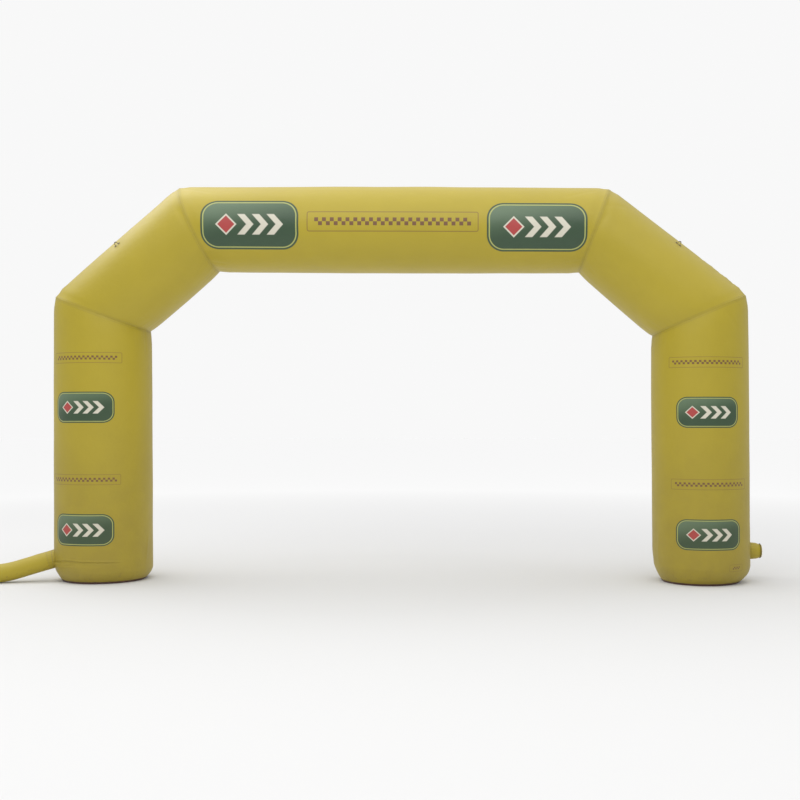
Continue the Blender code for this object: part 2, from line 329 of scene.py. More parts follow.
def roll_grid(columns, rows, share_of, place, metres):
    """Roll a grid of cloth by the rule place(around, share), and sew its long edges together."""
    bm = bmesh.new()
    maps = [bm.loops.layers.uv.new(name) for name in (FLAT_MAP, PRINT_MAP, SEAM_MAP)]
    bmesh.ops.create_grid(bm, x_segments=columns, y_segments=rows, size=0.5)
    spots = {vert: (vert.co.x + 0.5, share_of(vert.co.y + 0.5)) for vert in bm.verts}
    for vert, (around, share) in spots.items():
        vert.co = place(around, share)
    for face in bm.faces:
        for loop in face.loops:
            around, share = spots[loop.vert]
            for layer, spot in zip(maps, ((around, share), *metres(around, share, loop.vert.co))):
                loop[layer].uv = spot
    bmesh.ops.remove_doubles(bm, verts=bm.verts[:], dist=SAME_POINT)
    bmesh.ops.recalc_face_normals(bm, faces=bm.faces[:])
    return bm


def make_object(name, bm):
    """A named object from a finished bmesh."""
    mesh = bpy.data.meshes.new(name)
    bm.to_mesh(mesh)
    bm.free()
    return link(bpy.data.objects.new(name, mesh))


# %% [markdown]
# Each tube runs from one seam ring to another. Its girth, and its length along any line, are measured on its
# two rings, as a maker would do with a tape. A last measure says how free the cloth is: not at all on a seam,
# and fully at a hand's width from it.

# %% Measure the five tubes
Tube = namedtuple("Tube", "name lower upper rows")
TUBES = (
    Tube("leg_left", "foot_left", "low_left", 100),
    Tube("leg_right", "foot_right", "low_right", 100),
    Tube("shoulder_left", "low_left", "top_left", 58),
    Tube("shoulder_right", "low_right", "top_right", 58),
    Tube("crossbeam", "top_left", "top_right", 140),
)
DRAWN_IN = 0.070         # how far from a seam the cloth is held in by it


def tube_girth(tube):
    """How far it is round a tube, square to its middle line."""
    lower, upper = rings[tube.lower], rings[tube.upper]
    ring = between(lower, upper, 0.5)
    way = (upper.centre - lower.centre).normalized()
    half_width = (ring.across - way * ring.across.dot(way)).length
    return math.pi * (half_width + ring.depth)


def tube_length(tube, turn):
    """How long a tube is from seam to seam, along the line at one turn."""
    lower, upper = rings[tube.lower], rings[tube.upper]
    return (upper.centre + spoke(upper, turn) - lower.centre - spoke(lower, turn)).length


def turn_of(around):
    """The closing seam, where around is 0 and 1, lies at the back."""
    return math.tau * around - math.pi / 2


def freedom(tube, turn, share):
    """0 on a seam, and 1 where the cloth is clear of it."""
    from_seam = min(share, 1 - share) * tube_length(tube, turn)
    clear = min(1.0, from_seam / DRAWN_IN)
    return clear * clear * (3 - 2 * clear)


tubes = {tube.name: tube for tube in TUBES}
for tube in TUBES:
    print(tube.name, "girth", round(tube_girth(tube), 3))

# %% [markdown]
# The rows lie closer together near the seams, where the cloth is drawn in and puckers. Even rows would need
# many more faces for the same detail. The panel starts a few millimetres inside the solid, which leaves room
# for the air to swell it.

# %% Roll the five tubes
TUBE_COLUMNS = 132
ROW_CROWDING = 0.55      # 0 spaces the rows evenly, 1 crowds them at the seams
AIR_ROOM = 0.004
END_SHARE = 0.001        # rays are cast at least this far from a tube's ends, as a share of its length


def row_share(even):
    """Where a row of the grid lies between the seams."""
    crowded = (1 - math.cos(math.pi * even)) / 2
    return even + (crowded - even) * ROW_CROWDING


def roll_tube(tube):
    """Press a grid on a tube's solid, from its lower seam to its upper one."""
    lower, upper = rings[tube.lower], rings[tube.upper]
    tree = surface_tree(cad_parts[tube.name].data)
    girth = tube_girth(tube)
    beam_middle = (rings["top_left"].centre.x + rings["top_right"].centre.x) / 2
    reaches = {}

    def place(around, share):
        """A point of the cloth, a little inside the solid where it is clear of the seams."""
        if share not in reaches:
            inside = min(max(share, END_SHARE), 1 - END_SHARE)
            reaches[share] = reach_round(tree, between(lower, upper, inside))
        turn = turn_of(around)
        out = spoke(between(lower, upper, share), turn)
        reach = smooth_between(reaches[share], turn / math.tau * SOLID_STRIPS)
        inset = AIR_ROOM * freedom(tube, turn, share)
        return between(lower, upper, share).centre + out * reach - out.normalized() * inset

    def metres(around, share, point):
        """Where a corner lies on the print, and how far it is from both kinds of seam."""
        length = tube_length(tube, turn_of(around))
        round_front = (around - 0.5) * girth
        if tube.name == "crossbeam":
            printed = (point.x - beam_middle, -round_front)
        else:
            height = point.z if tube.name.startswith("leg") else share * length
            printed = (-round_front if tube.name.endswith("right") else round_front, height)
        return printed, (min(around, 1 - around) * girth, min(share, 1 - share) * length)

    return roll_grid(TUBE_COLUMNS, tube.rows, row_share, place, metres)


panels = {tube.name: make_object(tube.name + "_cloth", roll_tube(tube)) for tube in TUBES}
for name, piece in panels.items():
    print(name, "rolled,", len(piece.data.polygons), "faces")

# %% [markdown]
# ## Blowing them up
# Air is what shapes this cloth, so it shapes it here too, in Blender's cloth simulation. A formula could
# swell the mesh, but it would know nothing of how cloth pulls on its seams. The seam rings are pinned, as the
# stitching holds them. How far a point may move is capped, which keeps the tube the size it is sewn to. Each
# point's move is averaged with its neighbours', so that the cap leaves no steps.

# %% Helpers for the air
PIN_GROUP = "sewn"


def flat_spots(mesh):
    """Where each point of a mesh lies on its flat panel."""
    spots = [None] * len(mesh.vertices)
    for loop, corner in zip(mesh.loops, mesh.uv_layers[FLAT_MAP].uv):
        spots[loop.vertex_index] = tuple(corner.vector)
    return spots


def pin_ends(piece):
    """Hold the open edges of a tube, where it is sewn to the next one."""
    bm = bmesh.new()
    bm.from_mesh(piece.data)
    ends = [vert.index for vert in bm.verts if vert.is_boundary]
    bm.free()
    piece.vertex_groups.new(name=PIN_GROUP).add(ends, 1.0, "REPLACE")


def cap_moves(moves, caps):
    """Shorten each move that is longer than its cap."""
    return [move * min(1.0, cap / move.length) if move.length else move for move, cap in zip(moves, caps)]


def ease_moves(moves, mesh):
    """Average each point's move with its neighbours', so that the cap leaves no steps in the cloth."""
    totals = [move.copy() for move in moves]
    counts = [1] * len(moves)
    for edge in mesh.edges:
        a, b = edge.vertices
        totals[a] += moves[b]
        totals[b] += moves[a]
        counts[a] += 1
        counts[b] += 1
    return [total / count for total, count in zip(totals, counts)]


# %% [markdown]
# The simulation runs with pressure inside and no gravity. The cloth is cut a little too large, so it swells
# between the seams. Its last frame is kept in the mesh, so that the arch needs no simulation from then on.

# %% Simulate the air
PRESSURE = 4.0
AIR_FRAMES = 20
SPARE_CLOTH = -0.012     # a shrink below 0 makes the cloth larger
AIR_CAP = 0.009
EASE_ROUNDS = 5
NYLON_FEEL = {
    "quality": 5,
    "mass": 0.3,
    "tension_stiffness": 40,
    "compression_stiffness": 40,
    "shear_stiffness": 10,
    "bending_stiffness": 0.3,
}


def blow_up(piece, tube):
    """Run the cloth simulation and keep its result, with the move of each point capped."""
    pin_ends(piece)
    spots = flat_spots(piece.data)
    starts = [vert.co.copy() for vert in piece.data.vertices]
    air = piece.modifiers.new("air", "CLOTH")
    for setting, value in NYLON_FEEL.items():
        setattr(air.settings, setting, value)
    air.settings.shrink_min = SPARE_CLOTH
    air.settings.use_pressure = True
    air.settings.uniform_pressure_force = PRESSURE
    air.settings.effector_weights.gravity = 0
    air.settings.vertex_group_mass = PIN_GROUP
    for step in range(1, AIR_FRAMES + 1):
        scene.frame_set(step)
    depsgraph = bpy.context.evaluated_depsgraph_get()
    blown = bpy.data.meshes.new_from_object(piece.evaluated_get(depsgraph), depsgraph=depsgraph)
    piece.modifiers.remove(air)
    scene.frame_set(1)
    caps = [AIR_CAP * freedom(tube, turn_of(around), share) for around, share in spots]
    moves = cap_moves([vert.co - start for vert, start in zip(blown.vertices, starts)], caps)
    for _ in range(EASE_ROUNDS):
        moves = cap_moves(ease_moves(moves, blown), caps)
    for vert, start, move in zip(blown.vertices, starts, moves):
        vert.co = start + move
    blown.name = piece.data.name
    piece.data = blown
    piece.vertex_groups.clear()


for name, piece in panels.items():
    blow_up(piece, tubes[name])
    print(name, "blown up")

# %% [markdown]
# ## Folds listed one by one
# Air doesn't press out every fold: there is a double crease where the left leg's weight bends its foot,
# there are puckers at the seams' inner corners, and ripples on the right shoulder. A sculptor would draw them
# with a brush. Here each is a row of a table: where it lies on its panel, how it runs, and how far it lifts
# or sinks the cloth. First the mesh is made finer, and finer again in the band of the crease.

# %% Make the mesh finer
CREASE_BAND = (0.150, 0.280)
BAND_CUTS = 2


def refine_band(piece, low, high):
    """Add rows to a leg between two heights, by cutting its upright edges."""
    bm = bmesh.new()
    bm.from_mesh(piece.data)
    upright = []
    for edge in bm.edges:
        heights = sorted(vert.co.z for vert in edge.verts)
        rises = heights[1] - heights[0] > edge.calc_length() / 2
        if rises and low < heights[0] and heights[1] < high:
            upright.append(edge)
    bmesh.ops.subdivide_edges(bm, edges=upright, cuts=BAND_CUTS)
    bm.to_mesh(piece.data)
    bm.free()


def subdivide(piece):
    """Make a mesh twice as fine each way, and keep the result."""
    finer = piece.modifiers.new("finer", "SUBSURF")
    finer.levels = finer.render_levels = 1
    depsgraph = bpy.context.evaluated_depsgraph_get()
    mesh = bpy.data.meshes.new_from_object(piece.evaluated_get(depsgraph), depsgraph=depsgraph)
    piece.modifiers.remove(finer)
    piece.data = mesh


refine_band(panels["leg_left"], *CREASE_BAND)
for name, piece in panels.items():
    subdivide(piece)
    print(name, len(piece.data.polygons), "faces")

# %% [markdown]
# A fold's turn is counted from the tube's outer side, and its slope from round the tube (0) to along it (90),
# both in degrees. Its place along the tube is counted from the lower seam, or from the upper one where it is
# below 0. A lift is a ridge, and a negative one is a trough. The puckers at the inner corners repeat, so a
# loop adds them, each a little different from the last.

# %% The folds
Fold = namedtuple("Fold", "tube turn along slope length width lift")
FOLDS = [
    Fold("leg_left", 40, 0.230, 5.0, 0.320, 0.032, 0.0052),
    Fold("leg_left", 40, 0.214, 5.0, 0.320, 0.024, -0.0030),
    Fold("leg_left", 92, 0.237, -1.7, 0.560, 0.030, 0.0052),
    Fold("leg_left", 92, 0.222, -1.7, 0.540, 0.024, -0.0030),
    Fold("leg_left", 52, 0.196, 4.0, 0.400, 0.024, 0.0024),
    Fold("leg_left", 52, 0.184, 4.0, 0.380, 0.022, -0.0020),
    Fold("leg_left", 12, 0.520, 65, 0.260, 0.060, -0.0035),
    Fold("leg_left", -14, 0.500, 112, 0.240, 0.055, -0.0030),
    Fold("leg_left", 168, 0.330, 80, 0.300, 0.070, 0.0030),
    Fold("leg_right", 10, 0.560, 75, 0.300, 0.060, -0.0030),
    Fold("leg_right", 158, 0.360, 95, 0.340, 0.080, 0.0030),
    Fold("leg_right", 60, -0.160, 62, 0.320, 0.060, -0.0025),
    Fold("shoulder_left", 20, -0.070, 70, 0.140, 0.046, 0.0022),
    Fold("shoulder_left", 27, -0.105, 58, 0.160, 0.044, -0.0018),
    Fold("shoulder_left", 16, -0.190, 50, 0.150, 0.056, 0.0022),
    Fold("shoulder_left", 24, 0.140, 40, 0.220, 0.060, 0.0030),
    Fold("shoulder_right", 10, 0.110, 8, 0.260, 0.050, 0.0035),
    Fold("shoulder_right", 14, 0.185, -6, 0.300, 0.046, -0.0040),
    Fold("shoulder_right", 8, 0.265, 4, 0.280, 0.052, 0.0040),
    Fold("shoulder_right", 16, 0.350, 12, 0.320, 0.056, -0.0035),
    Fold("shoulder_right", 11, 0.455, -8, 0.260, 0.060, 0.0035),
    Fold("shoulder_right", 20, 0.575, 10, 0.280, 0.064, -0.0025),
    Fold("shoulder_right", 52, -0.120, 55, 0.360, 0.070, -0.0020),
    Fold("crossbeam", 34, 0.200, 70, 0.340, 0.080, -0.0020),
    Fold("crossbeam", 40, -0.260, 112, 0.360, 0.080, -0.0020),
]
Pucker = namedtuple("Pucker", "turn length width lift")
INNER_PUCKERS = (
    Pucker(131, 0.150, 0.050, -0.0009),
    Pucker(146, 0.230, 0.046, -0.0017),
    Pucker(158, 0.170, 0.040, 0.0012),
    Pucker(169, 0.280, 0.048, -0.0022),
    Pucker(183, 0.190, 0.042, 0.0014),
    Pucker(196, 0.260, 0.048, -0.0020),
    Pucker(211, 0.180, 0.046, -0.0014),
    Pucker(228, 0.140, 0.050, -0.0009),
)
SEWN_TO_NEXT = (
    ("leg_left", -1), ("shoulder_left", 1), ("shoulder_left", -1), ("crossbeam", 1),
    ("crossbeam", -1), ("shoulder_right", -1), ("shoulder_right", 1), ("leg_right", -1),
)
PUCKER_DRIFT = 3.0       # degrees
SEAM_STEP = 2.1          # both steps are in radians, and odd, so that no two seams pucker alike
PUCKER_STEP = 1.7
PUCKER_SPREAD = 0.25     # how far the puckers fan out
PUCKER_START = 0.38      # a pucker's middle, as a share of its length from the seam

for number, (tube_name, end) in enumerate(SEWN_TO_NEXT):
    for order, pucker in enumerate(INNER_PUCKERS):
        turn = pucker.turn + PUCKER_DRIFT * math.sin(SEAM_STEP * number + PUCKER_STEP * order)
        along = end * pucker.length * PUCKER_START
        slope = 90 + end * (turn - 180) * PUCKER_SPREAD
        FOLDS.append(Fold(tube_name, turn, along, slope, pucker.length, pucker.width, pucker.lift))
print(len(FOLDS), "folds")

# %% [markdown]
# A displacement texture could lift the cloth, but it would know nothing of where a fold starts and ends. So
# each point is moved along its own normal by the sum of the folds that it lies in. A soft noise is added,
# because no blown-up tube is quite even, and the outer corners of the mitre seams are rounded off.

# %% Press the folds
UNEVEN_SIZE = 0.45
UNEVEN_LIFT = 0.0022
CORNER_DEPTH = 0.009
CORNER_REACH = 0.13


def bell(distance):
    """1 in the middle of a fold, falling softly to 0 at a distance of 1."""
    return (1 + math.cos(math.pi * distance)) / 2 if abs(distance) < 1 else 0.0


def fold_lift(fold, radius, turn, along, length):
    """How far one fold lifts a point of its tube."""
    away = math.remainder(turn - math.radians(fold.turn), math.tau) * radius
    up = along - fold.along if fold.along >= 0 else along - length - fold.along
    reach = fold.length / 2
    if abs(away) > reach + fold.width or abs(up) > reach + fold.width:
        return 0.0
    slope = math.radians(fold.slope)
    down_fold = (away * math.cos(slope) + up * math.sin(slope)) / reach
    across = (up * math.cos(slope) - away * math.sin(slope)) / (fold.width / 2)
    if abs(down_fold) > 1:
        return 0.0
    return fold.lift * bell(across) * (1 - down_fold ** 4)


def soften_corners(point, tube, turn, share):
    """Draw the outer corner of a mitre seam in a little, as the air can't push cloth into a sharp corner."""
    outwards = max(0.0, math.cos(turn)) ** 2
    from_ends = (share * tube_length(tube, turn), (1 - share) * tube_length(tube, turn))
    for name, from_seam in zip((tube.lower, tube.upper), from_ends):
        if not name.startswith("foot"):
            inwards = -rings[name].across.normalized()
            point = point + inwards * CORNER_DEPTH * bell(from_seam / CORNER_REACH) * outwards
    return point


def press_folds(piece, tube):
    """Move the points of a tube in and out, by its folds and by a soft unevenness."""
    folds = [fold for fold in FOLDS if fold.tube == tube.name]
    radius = tube_girth(tube) / math.tau
    normals = [vert.normal.copy() for vert in piece.data.vertices]
    for vert, normal, (around, share) in zip(piece.data.vertices, normals, flat_spots(piece.data)):
        turn = turn_of(around)
        length = tube_length(tube, turn)
        lift = sum(fold_lift(fold, radius, turn, share * length, length) for fold in folds)
        lift += UNEVEN_LIFT * noise.noise(vert.co / UNEVEN_SIZE)
        vert.co += normal * lift * min(1.0, 2 * freedom(tube, turn, share))
        vert.co = soften_corners(vert.co, tube, turn, share)


for name, piece in panels.items():
    press_folds(piece, tubes[name])
    print(name, "creased")

# %% [markdown]
# Where a guy loop is sewn on, it holds the cloth down. The cloth could be pinned there in the simulation. It
# is simpler to draw it in afterwards, to the frame's solid that the loop's foot lies on, and that keeps the
# dent as small as the loop.

# %% Draw the cloth in under the loops
LOOP_REACH = 0.10
UNDER_LOOP = 0.0006


def hold_down(piece, tube_name, loop_name):
    """Bring the cloth round a loop's foot to the solid, and a little under it."""
    low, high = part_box(loop_name)
    middle = (low + high) / 2
    tree = surface_tree(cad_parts[tube_name].data)
    for vert in piece.data.vertices:
        away = (vert.co - middle).length / LOOP_REACH
        if away < 1:
            near, normal = tree.find_nearest(vert.co)[:2]
            vert.co = vert.co.lerp(near - normal * UNDER_LOOP, min(1.0, 2 * bell(away)))


for side in ("left", "right"):
    hold_down(panels["shoulder_" + side], "shoulder_" + side, "guy_loop_" + side)
print("cloth drawn in under both guy loops")

# %% [markdown]
# The tubes' ends meet at the mitre seams. Real tubes are open there, so the air runs from one to the next.
# Here each is closed by a flat face that its neighbour hides, because a closed mesh is sound by itself. Then
# each piece is hung under the arch's root, and the solid that it stands for is hidden.

SHARP_EDGE = math.radians(50)


def close_ends(piece):
    """Close the open ends of a cloth tube with flat faces, and shade it smooth."""
    bm = bmesh.new()
    bm.from_mesh(piece.data)
    bmesh.ops.holes_fill(bm, edges=[edge for edge in bm.edges if edge.is_boundary])
    bm.normal_update()
    bmesh.ops.recalc_face_normals(bm, faces=bm.faces[:])
    bm.to_mesh(piece.data)
    bm.free()
    piece.data.shade_smooth()
    piece.data.set_sharp_from_angle(angle=SHARP_EDGE)


def declare_cloth(piece, node):
    """Hang a filled piece under the arch's root, and hide the solid that it stands for."""
    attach(piece, "root")
    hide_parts(node)


for name, piece in panels.items():
    close_ends(piece)
    declare_cloth(piece, name)
    print(name, "closed and declared")

# %% [markdown]
# ## The two sleeves
# Low on the outside of each leg a small sleeve is sewn on. The left one is open, and air is blown in through
# it. The right one lets the air out when the arch is taken down, and is tied shut till then. Both are round
# tubes, so they are rolled from a grid too. Their middle line and their radius are measured on the frame's
# solids, slice by slice, and their roots are cut to the cloth of the leg that they are sewn to.

# %% Measure a sleeve
Station = namedtuple("Station", "centre away side up radius")
STATIONS = 36
RAY_START = 0.3


def slice_middle(node, x):
    """The middle of a slice through a solid, across X."""
    points = slice_solid(node, Vector((x, 0, 0)), Vector((1, 0, 0)))
    low = Vector([min(point[axis] for point in points) for axis in range(3)])
    high = Vector([max(point[axis] for point in points) for axis in range(3)])
    return (low + high) / 2


def measure_sleeve(node, first_x, last_x):
    """Its middle, its direction away from the leg, and its radius at even steps."""
    tree = surface_tree(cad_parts[node].data)
    steps = [first_x + (last_x - first_x) * step / STATIONS for step in range(STATIONS + 1)]
    middles = [slice_middle(node, x) for x in steps]
    stations = []
    for number, middle in enumerate(middles):
        away = (middles[min(number + 1, STATIONS)] - middles[max(number - 1, 0)]).normalized()
        side = away.cross(Vector((0, 0, 1))).normalized()
        up = side.cross(away)
        hits = [tree.ray_cast(middle + way * RAY_START, -way) for way in (up, -up)]
        radius = RAY_START - sum(hit[3] for hit in hits) / 2 if all(hit[0] for hit in hits) else None
        stations.append(Station(middle, away, side, up, radius or stations[-1].radius))
    return stations


def read_stations(stations, share):
    """A sleeve's measures at any share of its length."""
    place = min(max(share, 0.0), 1.0) * STATIONS
    before = min(int(place), STATIONS - 1)
    a, b = stations[before], stations[before + 1]
    return Station(*(x + (y - x) * (place - before) for x, y in zip(a, b)))


END_INSET = 0.0015
ROOT_CLEAR = 0.018
left_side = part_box("leg_left")[0].x
right_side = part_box("leg_right")[1].x
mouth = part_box("inflation_sleeve")[0].x
tied_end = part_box("vent_sleeve")[1].x
inflation = measure_sleeve("inflation_sleeve", left_side - ROOT_CLEAR, mouth + END_INSET)
vent = measure_sleeve("vent_sleeve", right_side + END_INSET, tied_end - END_INSET)
for name, stations in (("inflation sleeve", inflation), ("vent sleeve", vent)):
    print(name, "radius", round(stations[0].radius, 4))

# %% [markdown]
# A sleeve's rows run from its root to its end, and then on: the open sleeve's cloth turns in at the mouth and
# runs back inside, while the tied one closes in to a puckered middle. Small pleats stand round each root,
# where a round sleeve is eased on to a round leg, and deep ones where the cord gathers the vent sleeve.

# %% The sleeves' measures
Sleeve = namedtuple("Sleeve", "node leg stations columns rows root_share end_share inside wall pleats")
Pleats = namedtuple("Pleats", "count depth reach")
SLEEVES = (
    Sleeve("inflation_sleeve", "leg_left", inflation, columns=72, rows=110, root_share=0.07, end_share=0.84,
           inside=0.155, wall=0.005, pleats=Pleats(22, 0.0016, 0.04)),
    Sleeve("vent_sleeve", "leg_right", vent, columns=84, rows=40, root_share=0.20, end_share=0.78,
           inside=0.0, wall=0.0, pleats=Pleats(16, 0.0014, 0.03)),
)


def sleeve_length(stations):
    """How long a sleeve is along its middle line."""
    return sum((b.centre - a.centre).length for a, b in zip(stations, stations[1:]))


for sleeve in SLEEVES:
    print(sleeve.node, "length", round(sleeve_length(sleeve.stations), 3))

# %% [markdown]
# The rule for a sleeve's points has three parts: from its seam on the leg to its first station, along its
# outside, and beyond its end. The root could be pushed through the leg's cloth, but a sewn edge ends on it.
# So a ray from each point of the first ring finds the cloth of the leg. No point may lie below the ground.

# %% Roll a sleeve
SEWN_GAP = 0.0004
GROUND_GAP = 0.0006
SLEEVE_UNEVEN = 0.0030
UNEVEN_STEP = 0.14
TIE_PLEATS = 14
TIE_PLEAT_DEPTH = 0.0045
TIE_REACH = 0.05
SHUT_RADIUS = 0.008
SHUT_DEPTH = 0.010


def roll_sleeve(sleeve):
    """Roll a sleeve from its seam on the leg to its end, and on inside or shut."""
    leg = surface_tree(panels[sleeve.leg].data)
    length = sleeve_length(sleeve.stations)
    girth = math.tau * sleeve.stations[0].radius
    count, depth, reach = sleeve.pleats

    def ring_point(around, share, inset):
        """A point of the sleeve's outside, between its first station and its end."""
        station = read_stations(sleeve.stations, share)
        turn = math.tau * around
        way = station.up * -math.cos(turn) + station.side * math.sin(turn)
        swell = depth * math.cos(count * turn + 0.6 * math.sin(3 * turn)) * math.exp(-share * length / reach)
        swell += SLEEVE_UNEVEN * noise.noise((station.centre + way * station.radius) / UNEVEN_STEP)
        if not sleeve.inside:
            gather = max(0.0, 1 - (1 - share) * length / TIE_REACH)
            swell -= TIE_PLEAT_DEPTH * gather * (1 + math.cos(TIE_PLEATS * turn + math.sin(2 * turn))) / 2
        return station.centre + way * (station.radius - inset + swell)

    def place(around, share):
        """A point of the sleeve: at its root, on its outside, or beyond its end."""
        if share <= sleeve.root_share:
            start = ring_point(around, 0.0, 0.0)
            way = -sleeve.stations[0].away
            hit = leg.ray_cast(start, way)
            root = hit[0] - way * SEWN_GAP if hit[0] else start
            point = root.lerp(start, share / sleeve.root_share)
        elif share <= sleeve.end_share:
            out = (share - sleeve.root_share) / (sleeve.end_share - sleeve.root_share)
            point = ring_point(around, out, 0.0)
        else:
            beyond = (share - sleeve.end_share) / (1 - sleeve.end_share)
            if sleeve.inside:
                point = ring_point(around, 1 - beyond * sleeve.inside / length, sleeve.wall)
            else:
                last = sleeve.stations[-1]
                rim = ring_point(around, 1.0, 0.0)
                point = rim.lerp(last.centre, beyond * (1 - SHUT_RADIUS / last.radius))
                point -= last.away * SHUT_DEPTH * (1 - math.cos(math.pi * beyond)) / 2
        point.z = max(point.z, GROUND_GAP)
        return point

    def metres(around, share, point):
        """Its flat place, and how far it is from its own seam and from the leg."""
        out = (share - sleeve.root_share) / (sleeve.end_share - sleeve.root_share) * length
        from_root = max(0.0, share / sleeve.root_share * ROOT_CLEAR if out < 0 else ROOT_CLEAR + out)
        return ((around - 0.5) * girth, out), (min(around, 1 - around) * girth, from_root)

    return roll_grid(sleeve.columns, sleeve.rows, lambda even: even, place, metres)


for sleeve in SLEEVES:
    piece = make_object(sleeve.node + "_cloth", roll_sleeve(sleeve))
    subdivide(piece)
    close_ends(piece)
    declare_cloth(piece, sleeve.node)
    panels[sleeve.node] = piece
    print(sleeve.node, len(piece.data.polygons), "faces")

# %% [markdown]
# ## Shader helpers
# Every finish below is drawn by formulas on the cloth's own metres, so it needs no picture. Node trees can
# be wired by hand in the editor, but these repeat the same few steps. So small helpers write them: each adds
# one node, wires or sets its inputs, and gives back its output.

# %% Node helpers
def feed(tree, socket, value):
    """Wire a value to a socket, or set it."""
    if isinstance(value, bpy.types.NodeSocket):
        tree.links.new(value, socket)
    else:
        socket.default_value = value


def calc(tree, operation, *inputs):
    """One Math node."""
    node = tree.nodes.new("ShaderNodeMath")
    node.operation = operation
    for socket, value in zip(node.inputs, inputs):
        feed(tree, socket, value)
    return node.outputs[0]


def fade(tree, value, low, high, at_low=0.0, at_high=1.0):
    """A soft step from one value to another."""
    node = tree.nodes.new("ShaderNodeMapRange")
    node.interpolation_type = "SMOOTHSTEP"
    for name, setting in zip(("Value", "From Min", "From Max", "To Min", "To Max"),
                             (value, low, high, at_low, at_high)):
        feed(tree, node.inputs[name], setting)
    return node.outputs[0]


def line(tree, value, middle, half_width, softness):
    """A soft stripe where a value is near its middle."""
    away = calc(tree, "ABSOLUTE", calc(tree, "SUBTRACT", value, middle))
    return fade(tree, away, half_width - softness, half_width + softness, 1.0, 0.0)


def tint(tree, share, under, over, blend="MIX"):
    """Lay one colour over another."""
    node = tree.nodes.new("ShaderNodeMix")
    node.data_type = "RGBA"
    node.blend_type = blend
    for socket, value in zip((node.inputs[0], node.inputs[6], node.inputs[7]), (share, under, over)):
        feed(tree, socket, value)
    return node.outputs[2]


def axes(tree, vector):
    """The parts of a vector."""
    node = tree.nodes.new("ShaderNodeSeparateXYZ")
    feed(tree, node.inputs[0], vector)
    return node.outputs


def cloud(tree, vector, scale, detail=2.0, rough=0.5):
    """Soft noise between 0 and 1."""
    node = tree.nodes.new("ShaderNodeTexNoise")
    for name, setting in (("Vector", vector), ("Scale", scale), ("Detail", detail), ("Roughness", rough)):
        feed(tree, node.inputs[name], setting)
    return node.outputs[0]


def product(tree, *values):
    """Multiply any number of values."""
    result = values[0]
    for value in values[1:]:
        result = calc(tree, "MULTIPLY", result, value)
    return result


# %% [markdown]
# A finish that several pieces share is a node group: a small tree with named inputs and outputs, which is
# built once and placed wherever it is needed. One helper makes such a group, and one places it.

# %% Group helpers
SOCKETS = {"value": "NodeSocketFloat", "colour": "NodeSocketColor", "vector": "NodeSocketVector"}


def new_group(name, inputs, outputs):
    """A node group with named inputs and outputs, each given as a name and a kind."""
    tree = bpy.data.node_groups.new(name, "ShaderNodeTree")
    for way, sockets in (("INPUT", inputs), ("OUTPUT", outputs)):
        for label, kind in sockets:
            tree.interface.new_socket(name=label, in_out=way, socket_type=SOCKETS[kind])
    return tree, tree.nodes.new("NodeGroupInput").outputs, tree.nodes.new("NodeGroupOutput").inputs


def use_group(tree, group, **values):
    """Place a group, with its inputs given by name."""
    node = tree.nodes.new("ShaderNodeGroup")
    node.node_tree = group
    for label, value in values.items():
        feed(tree, node.inputs[label.replace("_", " ")], value)
    return node.outputs


# %% [markdown]
# ## What all the cloth shares
# The nylon is a plain weave under a thin coating, with a stronger thread every 8 mm. A picture of the weave
# would be blurred close up. Two sine waves, one for each set of threads, draw it as a height: their product
# rises and falls as the threads go over and under each other.

# %% Plain weave
THREAD = 0.0012
RIB_PITCH = 0.008


def build_weave():
    """Crossed threads and a grid of stronger ones, as a height in threads."""
    inputs = [("Place", "vector"), ("Thread", "value")]
    tree, given, out = new_group("plain_weave", inputs, [("Height", "value")])
    right, up = axes(tree, given["Place"])[:2]
    waves = []
    for part in (right, up):
        phase = calc(tree, "DIVIDE", calc(tree, "MULTIPLY", part, math.pi), given["Thread"])
        waves.append(calc(tree, "SINE", phase))
    threads = calc(tree, "MULTIPLY_ADD", product(tree, *waves), 0.5, 0.5)
    ribs = []
    for part in (right, up):
        across = calc(tree, "PINGPONG", part, RIB_PITCH / 2)
        ribs.append(fade(tree, across, 0.0, THREAD * 0.6, 1.0, 0.0))
    rib = calc(tree, "MAXIMUM", *ribs)
    feed(tree, out["Height"], calc(tree, "ADD", threads, rib))
    return tree


WEAVE = build_weave()
print("weave group built")

# %% [markdown]
# Cloth that stands outdoors isn't clean. A second group is the weather on it: the uneven dye, small crinkles
# from being packed away, and the dust and scuffs near the ground. The darkening that grows towards the
# ground, up to 2.4 m high, is partly that dust and partly painted shade. All this could be painted by hand,
# but noise and the height above the ground place it on every piece at once. Groups put out heights, masks and
# colours only. The shader stays outside them, so that each material can still be adjusted by itself.

# %% Weather and painted shade on the cloth
DUST_AND_SHADE_TOP = 2.4           # how far up the cloth the dust and the painted shade reach
DUST_AND_SHADE_PATCHES = (0.75, 1.25)
SCUFF_HEIGHTS = (0.02, 0.22)
DYE_SHADES = (0.955, 1.035)


